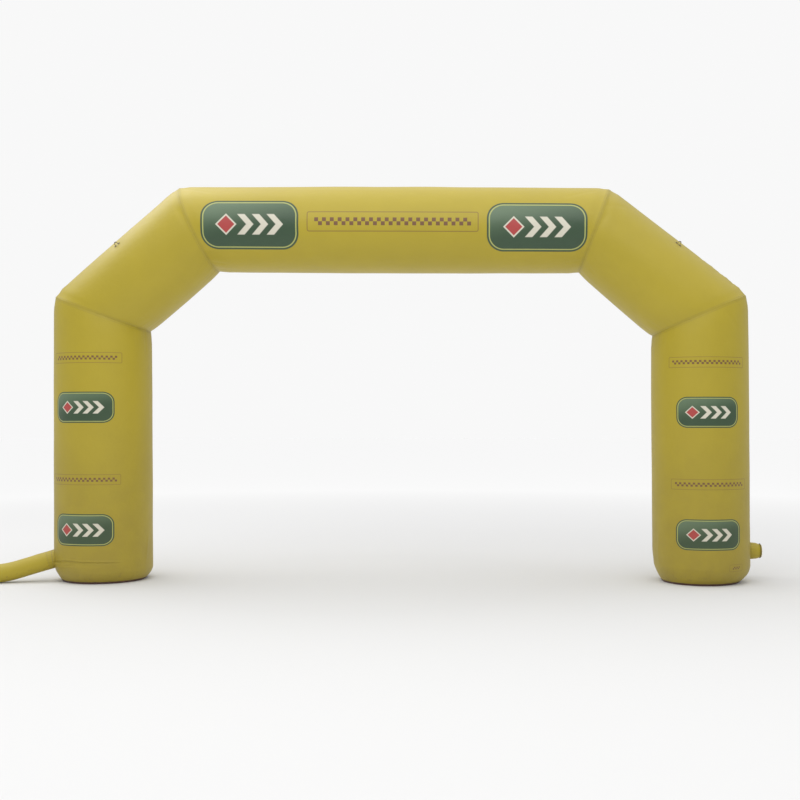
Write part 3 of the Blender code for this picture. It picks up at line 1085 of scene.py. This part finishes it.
def build_weather():
    """Uneven dye, dust with painted shade, scuffs and crinkles, by place on the whole arch."""
    tree, given, out = new_group(
        "weathered_cloth",
        [("Position", "vector")],
        [("Shade", "value"), ("Soil", "value"), ("Scuff", "value"), ("Crinkle", "value")],
    )
    position = given["Position"]
    height = axes(tree, position)[2]
    broad_dye = cloud(tree, position, scale=1.3, detail=3.0)
    fine_dye = cloud(tree, position, scale=6.0, detail=2.0)
    dye = calc(tree, "ADD", broad_dye, product(tree, fine_dye, 0.4))
    feed(tree, out["Shade"], fade(tree, dye, 0.35, 1.05, *DYE_SHADES))
    # Dust and painted shade: darker towards the ground, fading out higher up, in patches.
    nearer_ground = fade(tree, height, 0.0, DUST_AND_SHADE_TOP, at_low=1.0, at_high=0.0)
    patches = cloud(tree, position, scale=3.5, detail=5.0, rough=0.65)
    feed(tree, out["Soil"], product(tree, nearer_ground, fade(tree, patches, 0.25, 0.75, *DUST_AND_SHADE_PATCHES)))
    low = fade(tree, height, *SCUFF_HEIGHTS, at_low=1.0, at_high=0.0)
    marks = cloud(tree, position, scale=28.0, detail=4.0, rough=0.7)
    feed(tree, out["Scuff"], product(tree, low, fade(tree, marks, 0.56, 0.72)))
    creased = cloud(tree, position, scale=7.0, detail=3.0, rough=0.55)
    crushed = calc(tree, "ABSOLUTE", calc(tree, "SUBTRACT", creased, 0.5))
    feed(tree, out["Crinkle"], fade(tree, crushed, 0.0, 0.16))
    return tree


WEATHER = build_weather()
print("weather group built")

# %% [markdown]
# ## Seams
# Real seams are folded over and sewn with two rows of stitches. The groove of a seam is in the mesh. Stitches
# as pieces of their own would be thousands of specks that show only close up, so they are left to the finish.
# It draws the thin dark line, the doubled cloth beside it and the dashes of the two rows, all from the
# distances in the seam map.

# %% Sewn seams
STITCH_ROWS = (0.006, 0.019)
STITCH_PITCH = 0.007
STITCH_GAP = (0.0006, 0.0010)
ROW_HALF_WIDTH = 0.0009
ROW_SOFTNESS = 0.0003
STITCH_HEIGHT = 0.0005
SEAM_LINE = 0.0040
SEAM_ALLOWANCE = 0.026
ALLOWANCE_EDGE = 0.002
ALLOWANCE_HEIGHT = 0.0006


def build_seams():
    """A seam's line, its doubled cloth and its stitches, as masks, and their height."""
    tree, given, out = new_group(
        "sewn_seams",
        [("Seams", "vector"), ("Place", "vector")],
        [("Line", "value"), ("Doubled", "value"), ("Stitch", "value"), ("Height", "value")],
    )
    from_closing, from_mitre = axes(tree, given["Seams"])[:2]
    right, up = axes(tree, given["Place"])[:2]
    diagonal = calc(tree, "ADD", right, up)
    dashes = fade(tree, calc(tree, "PINGPONG", diagonal, STITCH_PITCH / 2), *STITCH_GAP)
    rows, lines, doubled = [], [], []
    for distance in (from_closing, from_mitre):
        lines.append(fade(tree, distance, 0.0, SEAM_LINE, 1.0, 0.0))
        doubled.append(fade(tree, distance, SEAM_ALLOWANCE, SEAM_ALLOWANCE + ALLOWANCE_EDGE, 1.0, 0.0))
        for row in STITCH_ROWS:
            rows.append(line(tree, distance, row, ROW_HALF_WIDTH, ROW_SOFTNESS))
    stitch = rows[0]
    for row in rows[1:]:
        stitch = calc(tree, "MAXIMUM", stitch, row)
    stitch = product(tree, stitch, dashes)
    doubled = calc(tree, "MAXIMUM", *doubled)
    feed(tree, out["Line"], calc(tree, "MAXIMUM", *lines))
    feed(tree, out["Doubled"], doubled)
    feed(tree, out["Stitch"], stitch)
    raised = product(tree, doubled, ALLOWANCE_HEIGHT)
    sewn = product(tree, stitch, STITCH_HEIGHT)
    feed(tree, out["Height"], calc(tree, "ADD", raised, sewn))
    return tree


SEAMS = build_seams()
print("seam group built")

# %% [markdown]
# ## The print
# The arch carries printed panels and strips, with plain motifs. An image would be the usual way, but it would
# be a file, and soft close up. Here a shape is drawn by its distance formula, which is below 0 inside it and
# so gives a crisp edge at any size. A print is placed by its middle and its size in metres, so one group
# serves the legs and the beam.

# %% Helpers for a print
PRINT_INPUTS = [("Cloth", "colour"), ("Place", "vector")]
PRINT_INPUTS += [(label, "value") for label in ("Middle Right", "Middle Up", "Width", "Height")]
EDGE = 0.010             # softness of a printed edge, as a share of the print's height


def print_space(tree, given):
    """Places on a print, from its middle, and its half width: both as shares of its height."""
    right, up = axes(tree, given["Place"])[:2]
    x = calc(tree, "DIVIDE", calc(tree, "SUBTRACT", right, given["Middle Right"]), given["Height"])
    y = calc(tree, "DIVIDE", calc(tree, "SUBTRACT", up, given["Middle Up"]), given["Height"])
    half_width = calc(tree, "DIVIDE", given["Width"], calc(tree, "MULTIPLY", given["Height"], 2.0))
    return x, y, half_width


def rounded_box(tree, x, y, half_width, half_height, corner):
    """The distance from a rounded rectangle, below 0 inside it."""
    past = []
    for place, half in ((x, half_width), (y, half_height)):
        inner = calc(tree, "SUBTRACT", half, corner)
        past.append(calc(tree, "SUBTRACT", calc(tree, "ABSOLUTE", place), inner))
    outside = [calc(tree, "POWER", calc(tree, "MAXIMUM", part, 0.0), 2.0) for part in past]
    outside = calc(tree, "SQRT", calc(tree, "ADD", *outside))
    inside = calc(tree, "MINIMUM", calc(tree, "MAXIMUM", *past), 0.0)
    return calc(tree, "SUBTRACT", calc(tree, "ADD", outside, inside), corner)


def within(tree, distance):
    """A mask of a shape from its distance: 1 inside it, and 0 outside."""
    return fade(tree, distance, -EDGE, EDGE, 1.0, 0.0)


def diamond(tree, x, y, middle, size):
    """The distance from a diamond halfway up a print, below 0 inside it."""
    across = calc(tree, "ABSOLUTE", calc(tree, "SUBTRACT", x, middle))
    upright = calc(tree, "ABSOLUTE", y)
    return calc(tree, "SUBTRACT", calc(tree, "ADD", across, upright), size)


# %% [markdown]
# A panel is a rounded green rectangle with a dark outline and a thin line inside it. Its green grows paler
# towards the top and to one side: a painted highlight. It has three pale chevrons. One ramp draws them all:
# it runs up and down across the panel, and adding a share of the height bends its stripes to points. A red
# diamond with a pale rim stands beside them.

# %% A printed panel
PANEL_INK = {
    "outline": (0.020, 0.055, 0.022, 1),
    "edge_line": (0.42, 0.44, 0.12, 1),
    "green_low": (0.019, 0.057, 0.020, 1),
    "green_highlit": (0.105, 0.170, 0.092, 1),
    "white": (0.64, 0.61, 0.50, 1),
    "red": (0.40, 0.040, 0.036, 1),
}
HIGHLIGHT_SLANT = 0.22       # these two are slopes
CHEVRON_POINT = 0.9
PANEL_CORNER = 0.34      # this and all below are shares of a panel's height
GREEN_HIGHLIGHT_FADE = (-0.15, 0.62)
OUTLINE_FADE = (-0.035, -0.025)
EDGE_LINE = (-0.048, 0.011, 0.008)     # its distance from the edge, half width and softness
CHEVRON_PITCH = 0.29
CHEVRON_MIDDLE = 0.3025
CHEVRON_HEIGHT = 0.20
BADGE_MIDDLE = -0.46
BADGE_SIZE = 0.17
BADGE_RIM = 0.04


def build_panel_print():
    """A green panel with an outline, three chevrons and a diamond."""
    tree, given, out = new_group("printed_panel", PRINT_INPUTS, [("Colour", "colour"), ("Ink", "value")])
    x, y, half_width = print_space(tree, given)
    edge = rounded_box(tree, x, y, half_width, 0.5, PANEL_CORNER)
    body = within(tree, edge)
    # Painted highlight: the green grows paler towards the top and aslant to one side.
    rise = calc(tree, "ADD", y, product(tree, x, -HIGHLIGHT_SLANT))
    colour = tint(tree, fade(tree, rise, *GREEN_HIGHLIGHT_FADE), PANEL_INK["green_low"], PANEL_INK["green_highlit"])
    colour = tint(tree, fade(tree, edge, *OUTLINE_FADE), colour, PANEL_INK["outline"])
    colour = tint(tree, line(tree, edge, *EDGE_LINE), colour, PANEL_INK["edge_line"])
    pointed = calc(tree, "ADD", x, product(tree, calc(tree, "ABSOLUTE", y), CHEVRON_POINT))
    from_middle = calc(tree, "SUBTRACT", pointed, CHEVRON_MIDDLE)
    stripes = calc(tree, "PINGPONG", calc(tree, "ADD", from_middle, CHEVRON_PITCH / 2), CHEVRON_PITCH / 2)
    chevrons = product(
        tree,
        fade(tree, stripes, CHEVRON_PITCH / 4 - EDGE, CHEVRON_PITCH / 4 + EDGE),
        within(tree, calc(tree, "SUBTRACT", calc(tree, "ABSOLUTE", from_middle), CHEVRON_PITCH * 1.5)),
        within(tree, calc(tree, "SUBTRACT", calc(tree, "ABSOLUTE", y), CHEVRON_HEIGHT)),
    )
    colour = tint(tree, chevrons, colour, PANEL_INK["white"])
    badge = diamond(tree, x, y, BADGE_MIDDLE, BADGE_SIZE)
    rim = within(tree, calc(tree, "SUBTRACT", badge, BADGE_RIM))
    colour = tint(tree, rim, colour, PANEL_INK["white"])
    colour = tint(tree, within(tree, badge), colour, PANEL_INK["red"])
    feed(tree, out["Colour"], tint(tree, body, given["Cloth"], colour))
    feed(tree, out["Ink"], body)
    return tree


# %% [markdown]
# A strip is two rows of chequers in a thin frame. A Checker Texture could draw them too. Here the columns and
# the rows are counted and every second square is inked, which shows how such a texture works, and only whole
# squares are kept, however long the strip is.

# %% A printed strip
STRIP_INK = (0.125, 0.038, 0.020, 1)
STRIP_FRAME_SHARE = 0.62
CHEQUER_SHARE = 0.9
CHEQUER = 0.19           # this and all below are shares of a strip's height
CHEQUER_CORNER = 0.02
STRIP_MARGIN = 0.32
STRIP_CORNER = 0.12
STRIP_FRAME = (-0.03, 0.022, 0.012)    # its distance from the edge, half width and softness


def build_strip_print():
    """Two rows of chequers in a thin frame."""
    tree, given, out = new_group("printed_strip", PRINT_INPUTS, [("Colour", "colour"), ("Ink", "value")])
    x, y, half_width = print_space(tree, given)
    edge = rounded_box(tree, x, y, half_width, 0.5, STRIP_CORNER)
    frame_line = line(tree, edge, *STRIP_FRAME)
    columns = calc(tree, "FLOOR", calc(tree, "DIVIDE", x, CHEQUER))
    upper = calc(tree, "GREATER_THAN", y, 0.0)
    odd = calc(tree, "PINGPONG", calc(tree, "ADD", columns, upper), 1.0)
    room = calc(tree, "SUBTRACT", half_width, STRIP_MARGIN)
    whole = calc(tree, "FLOOR", calc(tree, "DIVIDE", room, CHEQUER))
    inside = within(tree, rounded_box(tree, x, y, product(tree, whole, CHEQUER), CHEQUER, CHEQUER_CORNER))
    framed = product(tree, frame_line, STRIP_FRAME_SHARE)
    chequered = product(tree, odd, inside, CHEQUER_SHARE)
    ink = calc(tree, "MAXIMUM", framed, chequered)
    feed(tree, out["Colour"], tint(tree, ink, given["Cloth"], STRIP_INK))
    feed(tree, out["Ink"], ink)
    return tree


PRINTS = {"panel": build_panel_print(), "strip": build_strip_print()}
print("print groups built")

# %% [markdown]
# Each print has its place on its tube: on a leg by its height above the ground and its distance from the
# front line, and on the beam by its distance from the beam's middle and from its front line. In the UV editor
# they would be placed by eye, but places in metres can be checked with a tape.

# %% Where the prints are
Print = namedtuple("Print", "kind right up width height")
PRINT_PLACES = {
    "leg_left": (
        Print("strip", -0.045, 2.237, 0.690, 0.105),
        Print("panel", -0.060, 1.752, 0.580, 0.305),
        Print("strip", -0.070, 1.042, 0.710, 0.105),
        Print("panel", -0.068, 0.548, 0.585, 0.315),
    ),
    "leg_right": (
        Print("strip", 0.007, 2.185, 0.710, 0.105),
        Print("panel", 0.007, 1.702, 0.560, 0.300),
        Print("strip", 0.030, 1.003, 0.720, 0.105),
        Print("panel", 0.012, 0.516, 0.590, 0.300),
        Print("strip", 0.262, 0.190, 0.150, 0.070),
    ),
    "crossbeam": (
        Print("panel", -1.394, -0.012, 0.965, 0.500),
        Print("strip", 0.004, 0.018, 1.670, 0.200),
        Print("panel", 1.408, -0.030, 0.980, 0.495),
    ),
}

# %% [markdown]
# ## Materials
# Every material starts from the Principled shader. A point of the cloth is found in two ways: in a UV map, as
# on the flat panel, or by its place on the whole arch. Threads are too fine to model on a thing of this size,
# so a Bump node makes light fall as if a height in metres were there.

# %% Helpers for a material
def new_material(name):
    """A new material, with its node tree and its shader."""
    material = bpy.data.materials.new(name)
    material.use_nodes = True
    return material, material.node_tree, material.node_tree.nodes["Principled BSDF"]


def uv_place(tree, name):
    """Where a point of the cloth lies in one of its UV maps."""
    node = tree.nodes.new("ShaderNodeUVMap")
    node.uv_map = name
    return node.outputs["UV"]


def object_place(tree):
    """Where a point is on the whole arch, in metres."""
    return tree.nodes.new("ShaderNodeTexCoord").outputs["Object"]


def add_bump(tree, shader, height):
    """Feed a height in metres to a shader's normal."""
    bump = tree.nodes.new("ShaderNodeBump")
    bump.inputs["Distance"].default_value = 1.0
    feed(tree, bump.inputs["Height"], height)
    tree.links.new(bump.outputs["Normal"], shader.inputs["Normal"])


def dress(piece, material):
    """Make a material the only one on a piece."""
    piece.data.materials.clear()
    piece.data.materials.append(material)


# %% [markdown]
# ## Coated nylon
# The shader for the yellow cloth. Its colour is a strong, slightly green yellow. The coating gives it a broad
# soft gloss, so it is bright and pale where it turns away under the sky. Sheen would give a pale rim too, but
# sheen is for fuzzy cloth, and this is sealed, so it gets a rough clear coat. Ink lies on the coating and is
# a little smoother than it. Dust from the ground and painted shade darken the cloth towards the feet; the ink
# and the sleeves take less of both.

# %% The nylon's finish
NYLON_YELLOW = (0.406, 0.314, 0.0055, 1)
STITCH_THREAD = (0.300, 0.230, 0.040, 1)
# One colour for dust and painted shade, which darken the cloth towards the ground, and for the scuffs.
DUST_AND_SHADE_COLOUR = (0.165, 0.113, 0.028, 1)
DUST_AND_SHADE_SHARE = 0.33
SLEEVE_DUST_AND_SHADE_SHARE = 0.04
SCUFF_SHARE = 0.5
INK_SPARES_DUST_AND_SHADE = 0.75
LINE_SHADE = 0.86
DOUBLED_SHADE = 0.95
WEAVE_HEIGHT = 0.00006
CRINKLE_HEIGHT = 0.0006
NYLON_ROUGH = 0.50
INK_ROUGH = 0.44
SOIL_ROUGH = 0.62
NYLON_SPECULAR = 0.50
COAT_WEIGHT = 0.36
COAT_ROUGH = 0.50


def nylon(name, prints=(), dust_and_shade_share=DUST_AND_SHADE_SHARE):
    """Coated nylon with its seams, its prints, and the weather and painted shade on it."""
    material, tree, shader = new_material(name)
    place = uv_place(tree, PRINT_MAP)
    weather = use_group(tree, WEATHER, Position=object_place(tree))
    seams = use_group(tree, SEAMS, Seams=uv_place(tree, SEAM_MAP), Place=place)
    weave = use_group(tree, WEAVE, Place=place, Thread=THREAD)
    colour, ink = NYLON_YELLOW, 0.0
    for spot in prints:
        drawn = use_group(tree, PRINTS[spot.kind], Cloth=colour, Place=place, Middle_Right=spot.right,
                          Middle_Up=spot.up, Width=spot.width, Height=spot.height)
        colour = drawn["Colour"]
        ink = calc(tree, "MAXIMUM", ink, drawn["Ink"])
    colour = tint(tree, seams["Stitch"], colour, STITCH_THREAD)
    shade = product(
        tree,
        weather["Shade"],
        fade(tree, seams["Line"], 0.0, 1.0, 1.0, LINE_SHADE),
        fade(tree, seams["Doubled"], 0.0, 1.0, 1.0, DOUBLED_SHADE),
    )
    grey = tree.nodes.new("ShaderNodeCombineColor")
    for channel in grey.inputs:
        feed(tree, channel, shade)
    colour = tint(tree, 1.0, colour, grey.outputs[0], "MULTIPLY")
    # The ink takes less of the dust and painted shade than the bare cloth.
    takes_dust_and_shade = calc(tree, "MULTIPLY_ADD", ink, -INK_SPARES_DUST_AND_SHADE * dust_and_shade_share, dust_and_shade_share)
    colour = tint(tree, product(tree, weather["Soil"], takes_dust_and_shade), colour, DUST_AND_SHADE_COLOUR)
    colour = tint(tree, product(tree, weather["Scuff"], SCUFF_SHARE), colour, DUST_AND_SHADE_COLOUR)
    feed(tree, shader.inputs["Base Color"], colour)
    rough = calc(tree, "MULTIPLY_ADD", ink, INK_ROUGH - NYLON_ROUGH, NYLON_ROUGH)
    rough = calc(tree, "MULTIPLY_ADD", weather["Soil"], SOIL_ROUGH - NYLON_ROUGH, rough)
    feed(tree, shader.inputs["Roughness"], rough)
    height = calc(tree, "ADD", product(tree, weave["Height"], WEAVE_HEIGHT), seams["Height"])
    height = calc(tree, "ADD", height, product(tree, weather["Crinkle"], CRINKLE_HEIGHT))
    add_bump(tree, shader, height)
    shader.inputs["Specular IOR Level"].default_value = NYLON_SPECULAR
    shader.inputs["Coat Weight"].default_value = COAT_WEIGHT
    shader.inputs["Coat Roughness"].default_value = COAT_ROUGH
    return material


for name, piece in panels.items():
    dust_and_shade_share = SLEEVE_DUST_AND_SHADE_SHARE if name.endswith("sleeve") else DUST_AND_SHADE_SHARE
    dress(piece, nylon(name + "_nylon", PRINT_PLACES.get(name, ()), dust_and_shade_share))
print("nylon on", len(panels), "pieces")

# %% [markdown]
# ## The pieces that keep their solids
# The base panels, the cord round the vent sleeve and the two guy loops already have their real shapes. They
# could be modelled again, but that would add nothing. They only need their own materials, drawn on Object
# coordinates. The base panels are a coarse dark sheet, worn most where their edge is turned up.

# %% Base sheet
BASE_COLOUR = (0.095, 0.040, 0.030, 1)
BASE_WORN = (0.180, 0.105, 0.075, 1)
BASE_THREAD = 0.0022
BASE_WEAVE_HEIGHT = 0.0002
BASE_CRINKLE_HEIGHT = 0.0008
BASE_RIM = (0.010, 0.020)


def base_sheet():
    """A coarse dark sheet, worn most at its turned-up rim."""
    material, tree, shader = new_material("base_sheet")
    place = object_place(tree)
    weave = use_group(tree, WEAVE, Place=place, Thread=BASE_THREAD)
    weather = use_group(tree, WEATHER, Position=place)
    worn = fade(tree, cloud(tree, place, scale=22.0, detail=5.0, rough=0.7), 0.45, 0.70)
    rim = fade(tree, axes(tree, place)[2], *BASE_RIM)
    worn = product(tree, worn, calc(tree, "MULTIPLY_ADD", rim, 0.7, 0.3))
    feed(tree, shader.inputs["Base Color"], tint(tree, worn, BASE_COLOUR, BASE_WORN))
    feed(tree, shader.inputs["Roughness"], calc(tree, "MULTIPLY_ADD", worn, 0.2, 0.5))
    woven = product(tree, weave["Height"], BASE_WEAVE_HEIGHT)
    crinkled = product(tree, weather["Crinkle"], BASE_CRINKLE_HEIGHT)
    add_bump(tree, shader, calc(tree, "ADD", woven, crinkled))
    return material


# %% [markdown]
# The vent sleeve is tied with a braided cord. In a braid two sets of strands wind round in opposite ways. A
# picture of one would need unwrapping, but two slanted waves on the angle round the cord's ring draw both
# sets, and the higher wave shows. The raised strands are painted lighter and the gaps between them darker:
# painted light and shade.

# %% Braided cord
TIE_SHADED_GAP = (0.075, 0.058, 0.028, 1)
TIE_LIT_STRAND = (0.190, 0.150, 0.070, 1)
BRAID_STRANDS = 44
BRAID_SLANT = 900.0
BRAID_HEIGHT = 0.0005
TIE_ROUGH = 0.75
TIE_SHEEN = 0.2


def braided_cord():
    """A braid whose strands cross as they run round the tie."""
    material, tree, shader = new_material("braided_cord")
    low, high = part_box("vent_tie")
    middle = (low + high) / 2
    x, y, z = axes(tree, object_place(tree))
    turn = calc(tree, "ARCTAN2", calc(tree, "SUBTRACT", z, middle.z), calc(tree, "SUBTRACT", y, middle.y))
    along = product(tree, turn, BRAID_STRANDS)
    slant = product(tree, calc(tree, "SUBTRACT", x, middle.x), BRAID_SLANT)
    leaning_right = calc(tree, "SINE", calc(tree, "ADD", along, slant))
    leaning_left = calc(tree, "SINE", calc(tree, "SUBTRACT", along, slant))
    strands = calc(tree, "MAXIMUM", leaning_right, leaning_left)
    # Painted light and shade: the tops of the strands lighter, the gaps between them darker.
    lit = fade(tree, strands, -0.2, 1.0)
    feed(tree, shader.inputs["Base Color"], tint(tree, lit, TIE_SHADED_GAP, TIE_LIT_STRAND))
    shader.inputs["Roughness"].default_value = TIE_ROUGH
    shader.inputs["Sheen Weight"].default_value = TIE_SHEEN
    add_bump(tree, shader, product(tree, lit, BRAID_HEIGHT))
    return material


# %% [markdown]
# A guy loop is woven tape with fine ribs. Each loop is too small for a map of its own, so its ribs are a wave
# that runs aslant through it, and a fine noise breaks them up like loose fibres. The hollows between the ribs
# are painted darker, as painted shade.

# %% Ribbed webbing
WEBBING_COLOUR = (0.130, 0.080, 0.038, 1)
WEBBING_SHADE_AND_FIBRE = (0.060, 0.036, 0.018, 1)
WEBBING_RIB = 0.0016
WEBBING_RIB_HEIGHT = 0.0003
WEBBING_SHEEN = 0.15
FIBRES = 400.0


def webbing():
    """Woven tape with fine ribs and a little fuzz."""
    material, tree, shader = new_material("ribbed_webbing")
    place = object_place(tree)
    x, y, z = axes(tree, place)
    diagonal = calc(tree, "ADD", calc(tree, "ADD", x, z), product(tree, y, 0.5))
    wave = calc(tree, "SINE", product(tree, diagonal, math.tau / WEBBING_RIB))
    rib = calc(tree, "MULTIPLY_ADD", wave, 0.5, 0.5)
    fuzz = cloud(tree, place, scale=FIBRES, detail=2.0)
    # Painted shade in the hollows between ribs, broken up by the fibres' own tone.
    colour = tint(tree, product(tree, rib, fuzz), WEBBING_SHADE_AND_FIBRE, WEBBING_COLOUR)
    feed(tree, shader.inputs["Base Color"], colour)
    feed(tree, shader.inputs["Roughness"], calc(tree, "MULTIPLY_ADD", fuzz, 0.2, 0.62))
    shader.inputs["Sheen Weight"].default_value = WEBBING_SHEEN
    add_bump(tree, shader, product(tree, rib, WEBBING_RIB_HEIGHT))
    return material


# %% [markdown]
# One material serves both base panels and another serves both loops, as a pair is cut from the same roll. A
# material for each piece would do too, but then a change of colour would have to be made twice.

# %% Dress the kept solids
kept_finishes = (
    (("base_left", "base_right"), base_sheet()),
    (("vent_tie",), braided_cord()),
    (("guy_loop_left", "guy_loop_right"), webbing()),
)
for names, material in kept_finishes:
    for name in names:
        dress(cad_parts[name], material)
        print(name, "finished as", material.name)
